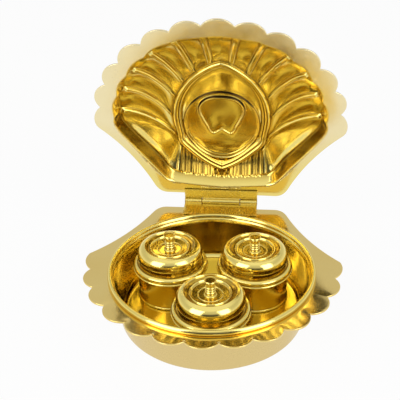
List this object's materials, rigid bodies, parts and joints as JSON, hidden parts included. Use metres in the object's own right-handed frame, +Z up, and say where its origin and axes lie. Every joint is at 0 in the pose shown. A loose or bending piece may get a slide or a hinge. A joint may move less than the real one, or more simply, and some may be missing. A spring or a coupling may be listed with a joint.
{
  "type": "kumkum holder",
  "caption": "Shell-shaped hinged brass box for kumkum: a scalloped plate with a round bowl that holds small lidded cups under a pressed, fluted lid.",
  "frame": {"origin": "middle of the object's footprint box on the surface it stands on, with the lid open as pictured", "axes": "+X to the right, -Y towards the scalloped front, +Z up; the hinge line runs along X at the back"},
  "size_m": [0.1355, 0.1382, 0.1498],
  "materials": {
    "polished_plate_brass": "mirror-polished flat sheet, pale gold",
    "spun_bowl_brass": "polished spun sheet, satin round the outside",
    "turned_cup_brass": "lathe-turned and buffed",
    "pressed_lid_brass": "pressed relief, buffed",
    "hinge_brass": "rolled strip, lightly brushed",
    "hinge_pin_wire": "drawn wire"
  },
  "bodies": {
    "base": {"base_plate": "polished_plate_brass", "bowl": "spun_bowl_brass", "lower_hinge_leaf": "hinge_brass", "hinge_pin": "hinge_pin_wire"},
    "lid": {"shell_lid": "pressed_lid_brass", "upper_hinge_leaf": "hinge_brass"},
    "left_cup": {"left_cup": "turned_cup_brass"},
    "left_cup_lid": {"left_cup_lid": "turned_cup_brass", "left_lid_knob": "turned_cup_brass"},
    "right_cup": {"right_cup": "turned_cup_brass"},
    "right_cup_lid": {"right_cup_lid": "turned_cup_brass", "right_lid_knob": "turned_cup_brass"},
    "front_cup": {"front_cup": "turned_cup_brass"},
    "front_cup_lid": {"front_cup_lid": "turned_cup_brass", "front_lid_knob": "turned_cup_brass"}
  },
  "joints": [
    {"name": "lid_hinge", "type": "hinge", "parent": "base", "child": "lid", "pos_m": [0, 0.0597, 0.027], "axis": [-1, 0, 0], "range_deg": [-71, 109]},
    {"name": "left_cup_lift", "type": "slide", "parent": "base", "child": "left_cup", "axis": [0, 0, 1], "range_m": [0, 0.05]},
    {"name": "left_lid_lift", "type": "slide", "parent": "left_cup", "child": "left_cup_lid", "axis": [0, 0, 1], "range_m": [0, 0.025]},
    {"name": "right_cup_lift", "type": "slide", "parent": "base", "child": "right_cup", "axis": [0, 0, 1], "range_m": [0, 0.05]},
    {"name": "right_lid_lift", "type": "slide", "parent": "right_cup", "child": "right_cup_lid", "axis": [0, 0, 1], "range_m": [0, 0.025]},
    {"name": "front_cup_lift", "type": "slide", "parent": "base", "child": "front_cup", "axis": [0, 0, 1], "range_m": [0, 0.05]},
    {"name": "front_lid_lift", "type": "slide", "parent": "front_cup", "child": "front_cup_lid", "axis": [0, 0, 1], "range_m": [0, 0.025]}
  ]
}
